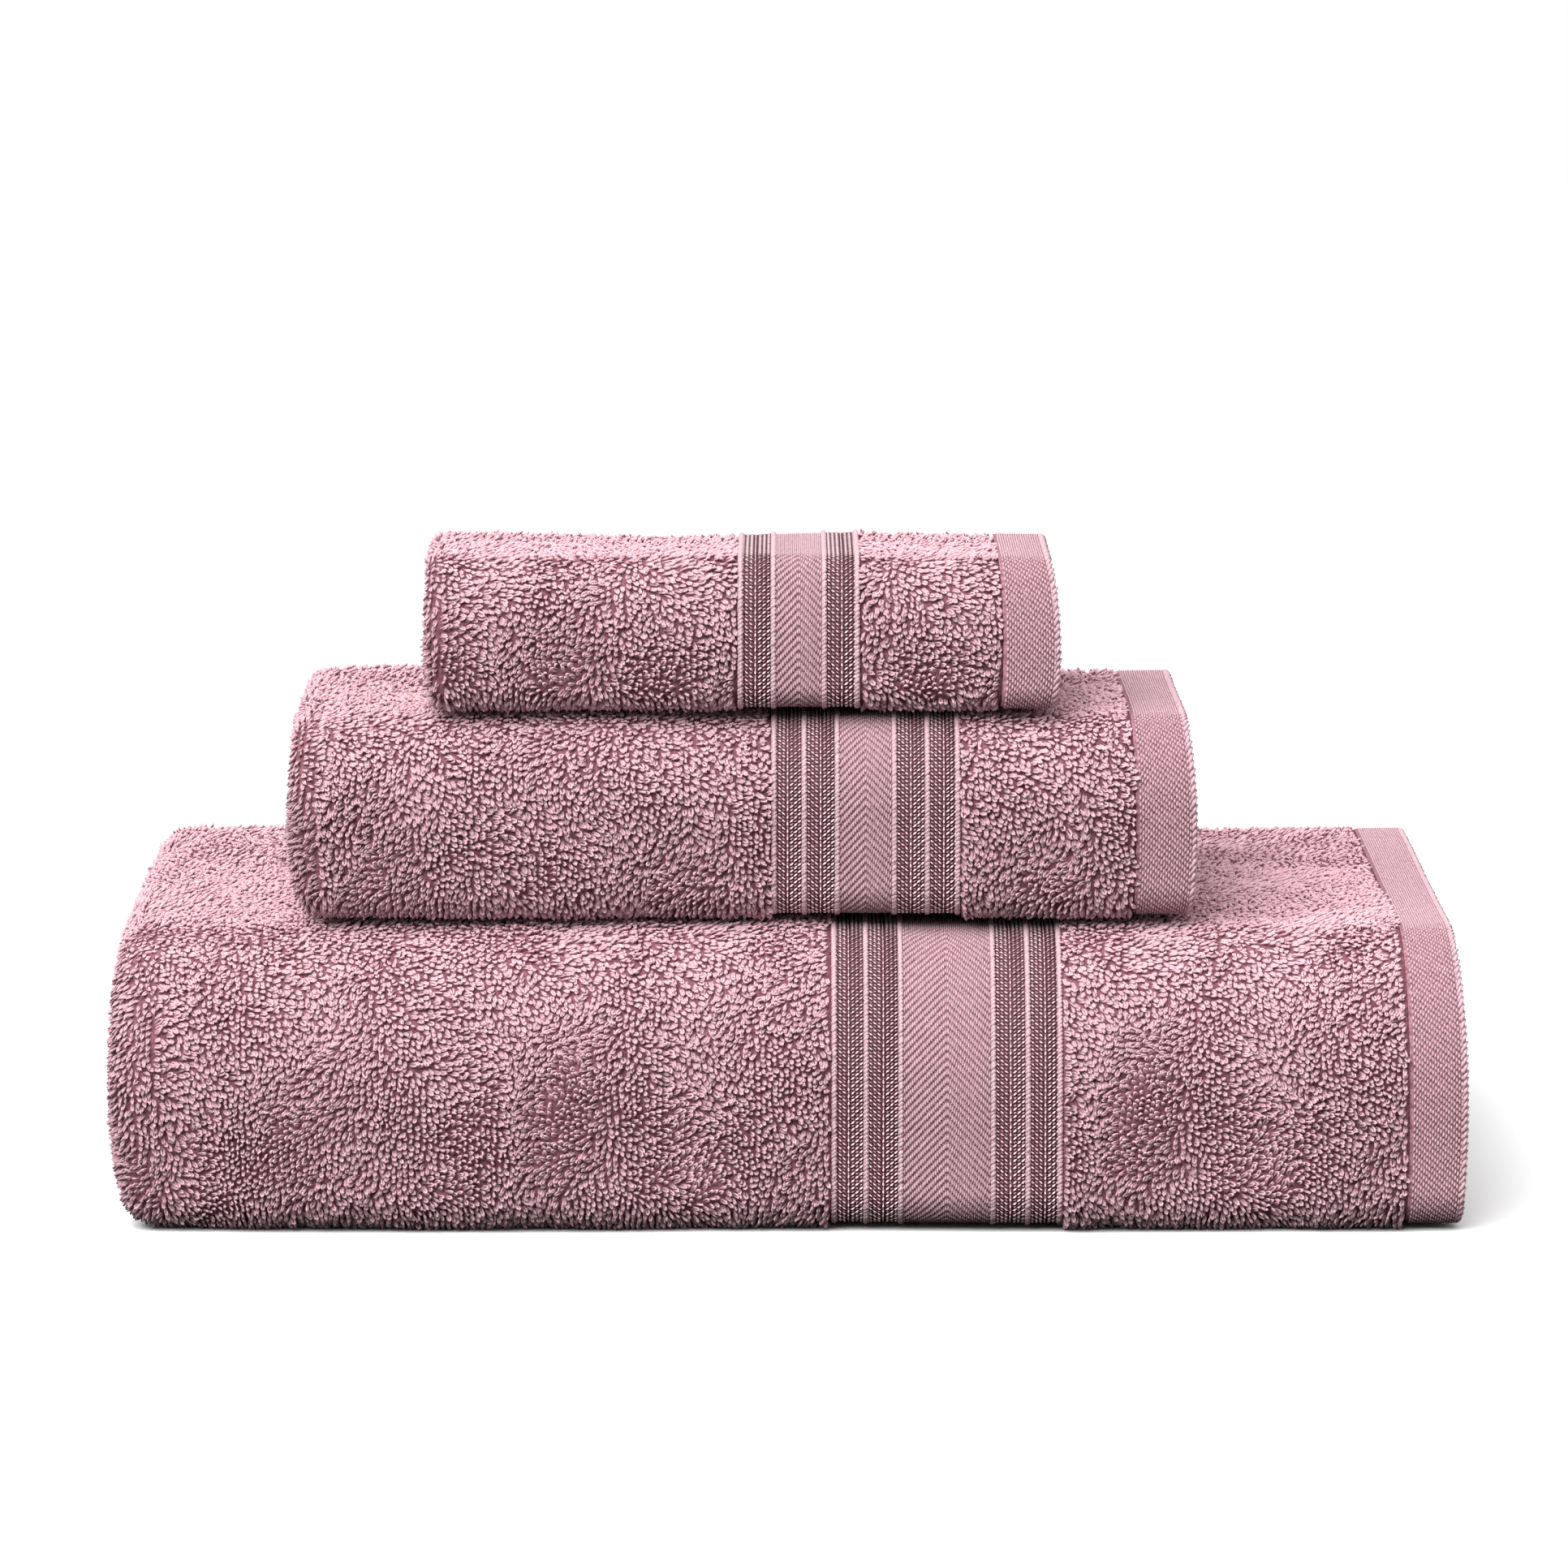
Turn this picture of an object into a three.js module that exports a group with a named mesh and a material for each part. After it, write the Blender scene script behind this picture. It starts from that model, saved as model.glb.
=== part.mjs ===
// A bath towel set: a bath towel, a hand towel and a washcloth, each folded flat, in one stack.
// Units are millimetres. +X runs along a folded towel towards its hemmed end, -Y is the front,
// where each towel shows its rolled fold, and +Z is up. The origin is the middle of the bath
// towel's underside.
//
// Each towel is one cloth, folded twice. Its length is folded first, which stacks its plies into
// a pack. The pack is then folded across its width, round the front, into panels that lie on each
// other. A piece of cloth is drawn as an outline in the pack's own section, where x runs along the
// folded towel and d is the depth below the pack's outer face, and the outline is swept round the
// panels.
import * as THREE from "three";

// Clearance left between any two faces of cloth.
const GAP = 0.5;

// The flat weave between the piles, and the hems, which are turned under and so have more layers.
const BORDER_THICKNESS = 2.0;
const HEM_THICKNESS = 2.6;
const SIDE_HEM_THICKNESS = 2.2;
const SIDE_HEM_WIDTH = 8;

// How far the second end of a cloth stops short of the first one, and the free edges of the
// panels short of the back fold.
const INNER_END_SETBACK = 3;
const BACK_EDGE_SETBACK = 4;

// A ply's fold inside a pack stops this far short of the pack's hemmed end.
const HIDDEN_FOLD_SETBACK = 2;

// The least radius that a buried ply keeps in a corner of the front fold.
const LEAST_CORNER = 2;

// Facets in the arcs.
const LOWER_CORNER_STEPS = 3;
const UPPER_CORNER_STEPS = 4;
const PANEL_FOLD_STEPS = 6;
const PLY_FOLD_STEPS = 6;

// The towels. "plies" is the order in which the length runs through the pack's plies, ply 0 being
// the outermost, from the end that shows. "panels" is the number of panels the width is folded
// into: three wind round one another, and four add one more fold inside. "upperCorner" and
// "lowerCorner" are the radii of the front fold as the cloth's own weight leaves it. The rest are
// the pile cloth's thickness and the widths of the woven zones at each end.
const BATH = {
  name: "bath",
  flatLength: 1400,
  flatWidth: 700,
  plies: [0, 3, 2, 1],
  panels: 3,
  pileThickness: 6,
  upperCorner: 28,
  lowerCorner: 12,
  hem: 14.3,
  endPile: 88.5,
  band: 17.3,
  herringbone: 23.2,
};
const HAND = {
  name: "hand",
  flatLength: 706,
  flatWidth: 405,
  plies: [0, 2, 1],
  panels: 3,
  pileThickness: 5.45,
  upperCorner: 20,
  lowerCorner: 9,
  hem: 15.2,
  endPile: 44.8,
  band: 16.5,
  herringbone: 14.2,
};
const WASH = {
  name: "wash",
  flatLength: 330,
  flatWidth: 330,
  plies: [0, 1],
  panels: 4,
  pileThickness: 4.6,
  upperCorner: 16,
  lowerCorner: 8,
  hem: 14.2,
  endPile: 36.5,
  band: 8.7,
  herringbone: 12.6,
};

// Where each upper towel lies on the one below: its front edge behind the lower one's, and its
// middle to the left of the bath towel's.
const HAND_BEHIND_BATH = 20;
const WASH_BEHIND_HAND = 6;
const UPPER_TOWELS_LEFT = 11.5;

// Finishes.
const PILE = { color: 0xb58c95, roughness: 0.95, metalness: 0 };
const FLAT_WEAVE = { color: 0xc7a5ac, roughness: 0.8, metalness: 0 };
const SHINY_WEAVE = { color: 0xa27c84, roughness: 0.45, metalness: 0 };

// Sizes that follow from a towel's own.
function measured(towel) {
  const pitch = towel.pileThickness + GAP;
  const pack = towel.plies.length * pitch - GAP;
  return {
    ...towel,
    pitch,
    pack,
    length: towel.flatLength / towel.plies.length,
    depth: towel.flatWidth / towel.panels,
    height: towel.panels * (pack + GAP) - GAP,
  };
}

// Points of an arc about (cx, cy), from one angle to another in degrees, both ends included.
function arc(cx, cy, radius, from, to, steps) {
  return Array.from({ length: steps + 1 }, (_, i) => {
    const angle = THREE.MathUtils.degToRad(from + ((to - from) * i) / steps);
    return [cx + radius * Math.cos(angle), cy + radius * Math.sin(angle)];
  });
}

// The way round the panels for cloth that lies d below the pack's outer face: points [y, z], with
// the front fold at y = 0 and the underside at z = 0. It starts at the back of the lowest panel,
// runs forward, up round the front, back along the top, down round the back fold and forward
// again. Four panels then turn once more and end at the back.
function wayRound(towel, d) {
  const { pack, depth, height } = towel;
  const lower = Math.max(towel.lowerCorner - d, LEAST_CORNER);
  const upper = Math.max(towel.upperCorner - d, LEAST_CORNER);
  const half = GAP / 2;
  const points = [
    ...arc(d + lower, d + lower, lower, 270, 180, LOWER_CORNER_STEPS),
    ...arc(d + upper, height - d - upper, upper, 180, 90, UPPER_CORNER_STEPS),
    ...arc(
      depth - pack - half,
      height - pack - half,
      pack + half - d,
      90,
      -90,
      PANEL_FOLD_STEPS,
    ),
  ];
  if (towel.panels === 3) return points;
  return [
    ...points,
    ...arc(
      2 * pack + 3 * half,
      height - 2 * pack - 3 * half,
      half + d,
      90,
      270,
      PANEL_FOLD_STEPS,
    ),
  ];
}

// The stations of a sweep: for a depth d, the points [y, z] of the way round, between two stops
// along it. A stop is how far its end lies from the edge of the cloth.
function stations(towel, startStop, endStop) {
  const edgeBack = towel.depth - BACK_EDGE_SETBACK;
  const edgeFront = towel.pack + GAP;
  return (d) => {
    const way = wayRound(towel, d);
    const first = [edgeBack - startStop, d];
    const lastZ = way[way.length - 1][1];
    const lastY = towel.panels === 3 ? edgeFront + endStop : edgeBack - endStop;
    return [first, ...way, [lastY, lastZ]];
  };
}

// The stations of a side hem: the last stretch of cloth along one of its two long edges.
function sideHemStations(towel, tucked) {
  return (d) => {
    const whole = stations(towel, 0, 0)(d);
    const main = stations(towel, SIDE_HEM_WIDTH, SIDE_HEM_WIDTH)(d);
    const at = tucked ? whole.length - 1 : 0;
    return tucked ? [main[at], whole[at]] : [whole[at], main[at]];
  };
}

// A closed solid: an outline of [x, d] points swept through the stations. The triangles of a cap
// always wind one way, so the outline is made to do so too.
function sweep(outlineEitherWay, stationsAt) {
  const flat = outlineEitherWay.map(([x, d]) => new THREE.Vector2(x, d));
  const contour = THREE.ShapeUtils.isClockWise(flat) ? flat.reverse() : flat;
  const outline = contour.map(({ x, y }) => [x, y]);
  const rings = outline.map(([x, d]) => stationsAt(d).map(([y, z]) => [x, y, z]));
  const corners = outline.length;
  const steps = rings[0].length;
  const positions = [];
  for (let step = 0; step < steps; step++)
    for (let corner = 0; corner < corners; corner++) positions.push(...rings[corner][step]);
  const index = [];
  for (let step = 0; step < steps - 1; step++)
    for (let corner = 0; corner < corners; corner++) {
      const next = (corner + 1) % corners;
      const a = step * corners + corner;
      const b = step * corners + next;
      index.push(a, b, b + corners, a, b + corners, a + corners);
    }
  const lastRing = (steps - 1) * corners;
  for (const [a, b, c] of THREE.ShapeUtils.triangulateShape(contour, []))
    index.push(c, b, a, lastRing + a, lastRing + b, lastRing + c);
  const geometry = new THREE.BufferGeometry();
  geometry.setAttribute("position", new THREE.Float32BufferAttribute(positions, 3));
  geometry.setIndex(facingOut(positions, index));
  geometry.computeVertexNormals();
  return geometry;
}

// The triangles, turned over if they face inwards, which the sign of their volume shows.
function facingOut(positions, index) {
  const corner = (i) => new THREE.Vector3().fromArray(positions, 3 * i);
  let volume = 0;
  for (let i = 0; i < index.length; i += 3)
    volume += corner(index[i]).dot(corner(index[i + 1]).cross(corner(index[i + 2])));
  return volume > 0 ? index : [...index].reverse();
}

// A strip of cloth that lies in one ply, from x0 to x1, as an outline.
function flatStrip(towel, ply, x0, x1, thickness) {
  const middle = ply * towel.pitch + towel.pileThickness / 2;
  return [
    [x0, middle - thickness / 2],
    [x1, middle - thickness / 2],
    [x1, middle + thickness / 2],
    [x0, middle + thickness / 2],
  ];
}

// A strip of cloth that runs through all the plies, from x0 in the first to x1 in the last, as an
// outline. Folds on the left lie round one centre, so they nest.
function foldedStrip(towel, x0, x1, thickness) {
  const left = -towel.length / 2 + towel.pack / 2;
  const right = towel.length / 2 - HIDDEN_FOLD_SETBACK - towel.pitch;
  const middle = (ply) => ply * towel.pitch + towel.pileThickness / 2;
  const side = (offset) => {
    const points = [];
    towel.plies.forEach((ply, leg) => {
      const next = towel.plies[leg + 1];
      if (next === undefined) return;
      const leftwards = leg % 2 === 0;
      const down = Math.sign(next - ply);
      const turn = leftwards ? -down : down;
      const radius = (Math.abs(next - ply) * towel.pitch) / 2 + turn * offset;
      points.push(
        ...arc(
          leftwards ? left : right,
          (middle(ply) + middle(next)) / 2,
          radius,
          -90 * down,
          leftwards ? -90 * down - 180 * down : 90 * down,
          PLY_FOLD_STEPS,
        ),
      );
    });
    const first = [x0, middle(towel.plies[0]) + offset];
    const endsLeftwards = towel.plies.length % 2 === 1;
    const last = [x1, middle(towel.plies.at(-1)) + (endsLeftwards ? offset : -offset)];
    return [first, ...points, last];
  };
  return [...side(thickness / 2), ...side(-thickness / 2).reverse()];
}

// The woven zones at one end of a cloth, from its free end inwards: their names, widths and looks.
function endZones(towel) {
  return [
    { name: "hem", width: towel.hem, thickness: HEM_THICKNESS, look: FLAT_WEAVE },
    { name: "end_pile", width: towel.endPile, thickness: towel.pileThickness, look: PILE },
    { name: "band_near", width: towel.band, thickness: BORDER_THICKNESS, look: SHINY_WEAVE },
    {
      name: "herringbone",
      width: towel.herringbone,
      thickness: BORDER_THICKNESS,
      look: FLAT_WEAVE,
    },
    { name: "band_far", width: towel.band, thickness: BORDER_THICKNESS, look: SHINY_WEAVE },
  ];
}

// A named piece of cloth with its own finish.
function piece(towel, name, outline, stationsAt, look) {
  const mesh = new THREE.Mesh(
    sweep(outline, stationsAt),
    new THREE.MeshStandardMaterial(look),
  );
  mesh.name = `${towel.name}_${name}`;
  return mesh;
}

// One folded towel, as a group of its pieces. The group's own origin is the middle of the towel's
// underside.
function foldedTowel(towel) {
  const group = new THREE.Group();
  const main = stations(towel, SIDE_HEM_WIDTH + GAP, SIDE_HEM_WIDTH + GAP);
  // The second end lies on the right after an even number of plies, and otherwise on the left,
  // inside the left fold.
  const endsLeft = towel.plies.length % 2 === 1;
  const outerEnd = towel.length / 2;
  const innerEnd = endsLeft
    ? -towel.length / 2 + towel.pack / 2
    : towel.length / 2 - INNER_END_SETBACK;
  const ends = [
    { where: "outer", ply: towel.plies[0], from: outerEnd, inwards: -1 },
    { where: "inner", ply: towel.plies.at(-1), from: innerEnd, inwards: endsLeft ? 1 : -1 },
  ];
  const fieldEdges = ends.map(({ where, ply, from, inwards }) => {
    let x = from;
    for (const { name, width, thickness, look } of endZones(towel)) {
      const far = x + inwards * width;
      const outline = flatStrip(towel, ply, x, far, thickness);
      group.add(piece(towel, `${name}_${where}`, outline, main, look));
      x = far + inwards * GAP;
    }
    return x;
  });
  const field = foldedStrip(towel, fieldEdges[0], fieldEdges[1], towel.pileThickness);
  group.add(piece(towel, "field", field, main, PILE));
  const wholeEdge = foldedStrip(towel, outerEnd, innerEnd, SIDE_HEM_THICKNESS);
  for (const tucked of [false, true]) {
    const name = tucked ? "side_hem_tucked" : "side_hem_under";
    group.add(piece(towel, name, wholeEdge, sideHemStations(towel, tucked), FLAT_WEAVE));
  }
  return group;
}

const towels = [BATH, HAND, WASH].map(measured);
const [bath, hand, wash] = towels;
const [bathGroup, handGroup, washGroup] = towels.map(foldedTowel);

const bathFront = -bath.depth / 2;
const handFront = bathFront + HAND_BEHIND_BATH;
const washFront = handFront + WASH_BEHIND_HAND;
const handBase = bath.height + GAP;
const washBase = handBase + hand.height + GAP;

bathGroup.position.set(0, bathFront, 0);
handGroup.position.set(-UPPER_TOWELS_LEFT, handFront, handBase);
washGroup.position.set(-UPPER_TOWELS_LEFT, washFront, washBase);

const towelSet = new THREE.Group();
towelSet.name = "bath_towel_set";
towelSet.add(bathGroup, handGroup, washGroup);

export default towelSet;
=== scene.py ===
import math

import bpy
import numpy as np
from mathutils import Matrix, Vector


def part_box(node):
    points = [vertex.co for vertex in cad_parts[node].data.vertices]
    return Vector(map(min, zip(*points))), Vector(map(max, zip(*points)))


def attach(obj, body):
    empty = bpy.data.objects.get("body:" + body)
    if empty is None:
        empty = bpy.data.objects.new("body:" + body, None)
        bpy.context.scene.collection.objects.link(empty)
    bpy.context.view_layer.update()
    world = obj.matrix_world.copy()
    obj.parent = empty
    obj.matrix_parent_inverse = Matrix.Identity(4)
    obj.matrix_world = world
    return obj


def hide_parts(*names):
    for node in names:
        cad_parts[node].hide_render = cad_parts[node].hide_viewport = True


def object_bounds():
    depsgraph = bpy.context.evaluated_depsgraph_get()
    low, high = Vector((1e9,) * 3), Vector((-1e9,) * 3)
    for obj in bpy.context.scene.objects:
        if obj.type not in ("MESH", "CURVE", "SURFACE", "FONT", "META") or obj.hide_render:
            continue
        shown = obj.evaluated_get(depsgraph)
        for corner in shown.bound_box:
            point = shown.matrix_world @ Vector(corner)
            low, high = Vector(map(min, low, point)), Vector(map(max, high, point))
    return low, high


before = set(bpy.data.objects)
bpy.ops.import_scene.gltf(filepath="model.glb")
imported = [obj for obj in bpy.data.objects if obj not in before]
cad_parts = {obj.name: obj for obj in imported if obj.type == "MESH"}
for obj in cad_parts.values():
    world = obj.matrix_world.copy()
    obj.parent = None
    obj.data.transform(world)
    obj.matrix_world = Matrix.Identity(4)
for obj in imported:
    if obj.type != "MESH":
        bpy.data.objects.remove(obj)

# A bath towel set: a bath towel, a hand towel and a washcloth, folded and stacked.
# Lengths are metres, in the CAD model's own frame. Each towel is one cloth, folded along its
# length into a pack of plies, and the pack is folded round the front into panels. A point of the
# cloth is given by x, by its depth below the pack's outer face, and by how far it lies along the
# way round the panels.

CAD_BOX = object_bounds()
MM = 0.001

# The folding plan, as the CAD model has it.
GAP = 0.5 * MM
BORDER_THICKNESS = 2.0 * MM
HEM_THICKNESS = 2.6 * MM
SIDE_HEM_THICKNESS = 2.2 * MM
SIDE_HEM_WIDTH = 8 * MM
BACK_EDGE_SETBACK = 4 * MM
HIDDEN_FOLD_SETBACK = 2 * MM
HIDDEN_FACE_INSET = 0.4 * MM
LEAST_CORNER = 2 * MM

# How finely the cloth is divided, along straight stretches and round folds.
CLOTH_STEP = 6 * MM
CORNER_STEPS = 12
PANEL_FOLD_STEPS = 14
PLY_FOLD_STEPS = 12

# The outermost left fold is fuller in its corners than a round one, which would be 2.
FOLD_SQUARENESS = 3.0

# How far the right end is drawn in at its top and tucked in at its foot, and over what length.
RIGHT_END_DRAWN_IN = 3.0 * MM
RIGHT_END_TUCKED_IN = 1.8 * MM
RIGHT_END_REACH = 45 * MM

# How the left end's fold rounds off at its foot and at its top in front: how far in it moves and
# over what length, in thicknesses of the pack, and the top's share of it.
LEFT_END_ROUNDING = 0.22
LEFT_END_REACH = 3.2
LEFT_END_TOP_SHARE = 0.7

# The slow unevenness of the top and of the front, each with its height and its wavelength.
TOP_WAVE = 0.55 * MM
TOP_WAVELENGTH = 0.11
FRONT_WAVE = 0.7 * MM
FRONT_WAVELENGTH = 0.09

# The parts of the way round, in order.
BOTTOM, LOWER_CORNER, FRONT, UPPER_CORNER, TOP, BACK_FOLD, MIDDLE = range(7)

# How far yarn keeps off the cloth's edges, and how far pile and woven yarn run on past what can
# be seen.
YARN_EDGE_STOP = 2 * MM
FRONT_RUN_ON = 6 * MM
WOVEN_RUN_ON = 5 * MM

# Terry loops: the height kept for them, their pitches, and their yarn.
PILE_HEIGHT = 1.9 * MM
FRONT_PITCH = 1.5 * MM
FOLD_PITCH = 1.6 * MM
BACK_PITCH = 1.9 * MM
UNDER_PITCH = 2.3 * MM
LOOP_LENGTH = 2.35 * MM
LOOP_HALF_WIDTH = 0.32 * MM
LOOP_YARN_RADIUS = 0.36 * MM
# A loop's roots sink this far into the ground. It leans out less at its root than at its tip:
# by this power of the way up.
LOOP_SINK = 0.25 * MM
LOOP_CURL = 1.4
# Low on each towel the loops stand out and swirl. Above this share of its height they lie
# flatter and flatter, like shingles, and swirl and vary less. Leans are degrees off upright,
# with limits in radians. The heading is in radians.
COMBED_FROM = 0.30
LEAN = 32
LEAN_MORE = 34
LEAN_LIMITS = (0.05, 1.25)
LOOP_HEADING = -1.9
SWIRL_CALMED = 0.65
LEAN_CALMED = 0.7
# Higher up, where they lie flatter, their painted root shade is lifted by this share: painted light
# that makes the upper loops paler.
UPPER_LOOPS_PAINTED_LIGHT = 0.75
# The slow changes of heading, in radians, and of lean, in degrees, each with its wavelength.
WIDE_SWIRL = (1.5, 0.045)
FINE_SWIRL = (0.5, 0.012)
LEAN_SWELL = (13, 0.03)
# How much one loop differs from the next: the spread of its place, in pitches, of its heading
# and twist, of its lean in degrees, and of its length and width, as shares, with their limits.
PLACE_SPREAD = 0.13
HEADING_SPREAD = 0.35
TWIST_SPREAD = 0.45
LEAN_SPREAD = 8
LENGTH_SPREAD = 0.10
LENGTH_LIMITS = (0.7, 1.3)
WIDTH_SPREAD = 0.18
WIDTH_LIMITS = (0.5, 1.6)
# The line of a loop: across it, in half widths, and along it, in lengths.
FULL_LOOP = ((-0.5, 0), (-1, 0.42), (-1, 0.82), (0, 1), (1, 0.82), (1, 0.42), (0.5, 0))
PLAIN_LOOP = ((-0.5, 0), (-1, 0.6), (0, 1), (1, 0.6), (0.5, 0))

# The width kept for each cord, at the edges of the woven bands.
CORD_WIDTH = 1.4 * MM

# The dark bands' yarns: rows of bright strokes in upright Vs, and dim ones between them. A band
# wider than this has two stripes of them. Facing up, the strokes are painted darker by this share
# of their tone: painted shade on the band's top.
DASH_COLUMN = 1.05 * MM
DASH_PITCH = 1.9 * MM
DASH_SLANT = 0.85
DASH_PAINTED_SHADE_UP = 0.8
LEAST_COLUMNS = 3
TWO_STRIPES_FROM = 12 * MM
# Each row: its name, shift in pitches, length, radius, rise, and range of tones.
DASH_ROWS = (
    ("dim", 0.5, 1.15 * MM, 0.18 * MM, 0.0, (0, 0.35)),
    ("bright", 0.0, 1.45 * MM, 0.26 * MM, 0.06 * MM, (0.7, 1)),
)

# The woven floats of the herringbone and of the hem. The herringbone climbs in proportion to the
# distance from its middle, and the hem by a share of a pitch with each column. The margins are
# at the hem's left and right.
HERRINGBONE_COLUMN = 0.53 * MM
HERRINGBONE_PITCH = 2.1 * MM
HERRINGBONE_LENGTH = 1.9 * MM
HERRINGBONE_RADIUS = 0.28 * MM
HERRINGBONE_CLIMB = 1.05
HEM_COLUMN = 0.68 * MM
HEM_PITCH = 1.7 * MM
HEM_LENGTH = 1.4 * MM
HEM_RADIUS = 0.31 * MM
HEM_CLIMB = -0.34
HEM_MARGINS = (1.2 * MM, 1.0 * MM)

# How much one float differs from the next: its tilt, and its place outwards and along, in radii.
# A float bows: it rises this share of its radius, and dips by this share at its ends, where it
# also thins by this share.
TILT_SPREAD = 0.05
LIFT_SPREAD = 0.12
SLIDE_SPREAD = 0.15
FLOAT_RISE = 0.75
FLOAT_DIP = 1.1
FLOAT_THINNING = 0.45

# The cords: the turns' length in pitches, slant and range of tones, then each cord's radius,
# pitch and rise.
TURN_LENGTH = 2.1
TURN_SLANT = 0.5
TURN_TONES = (0, 0.6)
BORDER_CORD = (0.60 * MM, 1.05 * MM, -0.15 * MM)
HEM_CORD = (0.55 * MM, 1.9 * MM, 0.0)
HEM_CORD_INSET = 0.7 * MM
HEM_CORD_DEPTH = 0.75 * MM

# The exporter thins pieces of more than 200,000 triangles, so larger ones are split.
MOST_TRIANGLES = 190000


# ---------------------------------------------------------------- camera, floor and light

CAMERA_BACK = 2.178
CAMERA_HEIGHT = 0.410
CAMERA_PITCH = 7.667
CAMERA_LENS = 198.2
SENSOR_WIDTH = 36

# Soft lights, each with its direction, strength and angle: the key comes from above and in
# front, a little from the left, and the fill from the right.
KEY = ((0.36, 0.58, -0.72), 5.2, 55)
FILL = ((-0.65, 0.25, -0.70), 0.85, 90)
DOME_HORIZON = 0.40
DOME_ZENITH = 0.60
# The floor shows white. What light it throws back on the towels is a grey table's, which the
# camera doesn't see.
FLOOR_WHITE = 0.95
TABLE_GREY = 0.05
TABLE_DROP = 0.02 * MM
FLOOR_HALF = 4


def make_camera():
    """The photo's camera: a long lens, in front and slightly above."""
    camera = bpy.data.cameras.new("camera")
    camera.lens = CAMERA_LENS
    camera.sensor_width = SENSOR_WIDTH
    camera.clip_end = 50
    holder = bpy.data.objects.new("camera", camera)
    holder.location = (0, CAD_BOX[0].y - CAMERA_BACK, CAMERA_HEIGHT)
    holder.rotation_euler = (math.radians(90 - CAMERA_PITCH), 0, 0)
    bpy.context.scene.collection.objects.link(holder)
    bpy.context.scene.camera = holder


def make_light():
    """The key and fill lights, and a dome that is brighter overhead and shows as plain white."""
    scene = bpy.context.scene
    scene.view_settings.view_transform = "Standard"
    world = bpy.data.worlds.new("studio")
    world.use_nodes = True
    tree = world.node_tree
    background = tree.nodes["Background"]
    background.inputs["Color"].default_value = (1, 1, 1, 1)
    place = tree.nodes.new("ShaderNodeTexCoord")
    split = tree.nodes.new("ShaderNodeSeparateXYZ")
    tree.links.new(place.outputs["Generated"], split.inputs[0])
    dome = tree.nodes.new("ShaderNodeMapRange")
    dome.inputs["To Min"].default_value = DOME_HORIZON
    dome.inputs["To Max"].default_value = DOME_ZENITH
    tree.links.new(split.outputs["Z"], dome.inputs["Value"])
    path = tree.nodes.new("ShaderNodeLightPath")
    shown = tree.nodes.new("ShaderNodeMix")
    shown.inputs["B"].default_value = 1.0
    tree.links.new(path.outputs["Is Camera Ray"], shown.inputs["Factor"])
    tree.links.new(dome.outputs["Result"], shown.inputs["A"])
    tree.links.new(shown.outputs["Result"], background.inputs["Strength"])
    scene.world = world
    for name, (direction, strength, angle) in (("key", KEY), ("fill", FILL)):
        sun = bpy.data.lights.new(name, "SUN")
        sun.energy = strength
        sun.angle = math.radians(angle)
        holder = bpy.data.objects.new(name, sun)
        holder.rotation_euler = Vector(direction).to_track_quat("-Z", "Y").to_euler()
        scene.collection.objects.link(holder)


def make_floor():
    """The floor that the camera sees, and just below it the table that the light sees."""
    half = FLOOR_HALF
    for name, shade, seen in (("floor", FLOOR_WHITE, True), ("table", TABLE_GREY, False)):
        plane = bpy.data.meshes.new(name)
        corners = [(-half, -half, 0), (half, -half, 0), (half, half, 0), (-half, half, 0)]
        plane.from_pydata(corners, [], [(0, 1, 2, 3)])
        plane.materials.append(floor_material(name, shade))
        holder = bpy.data.objects.new(name, plane)
        holder.location.z = 0 if seen else -TABLE_DROP
        holder.visible_camera = seen
        holder.visible_diffuse = not seen
        holder.visible_glossy = not seen
        bpy.context.scene.collection.objects.link(holder)


# ---------------------------------------------------------------- materials


def new_material(name):
    """A material with its node tree, and that tree's Principled shader."""
    made = bpy.data.materials.new(name)
    made.use_nodes = True
    return made, made.node_tree, made.node_tree.nodes["Principled BSDF"]


def floor_material(name, shade):
    """A plain matt grey."""
    made, _, shader = new_material(name)
    shader.inputs["Base Color"].default_value = (shade, shade, shade, 1)
    shader.inputs["Roughness"].default_value = 0.6
    shader.inputs["Specular IOR Level"].default_value = 0.2
    return made


# Blender's diagonal wave bands number this many per unit of length at a scale of 1.
WAVES_PER_UNIT_SCALE = 10 * math.sqrt(3) / math.pi

# The yarn's colours by height up the strand, from a root darkened with painted shade to a pale tip,
# its sheen, and the fine ribs of its twist: how often they cross the strand's map, and how deep
# they are.
YARN_STOPS = (0.05, 0.45, 0.9)
SHEEN_TINT = (1, 0.76, 0.81, 1)
TWIST_REPEATS = (50, 6, 0)
TWIST_SCALE = 0.35
TWIST_STRENGTH = 0.4
TWIST_DEPTH = 0.1 * MM


def ramp(tree, stops):
    """A colour ramp with the given (position, colour) stops."""
    node = tree.nodes.new("ShaderNodeValToRGB")
    elements = node.color_ramp.elements
    while len(elements) < len(stops):
        elements.new(0.5)
    for element, (position, colour) in zip(elements, stops):
        element.position = position
        element.color = (*colour, 1)
    return node


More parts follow.
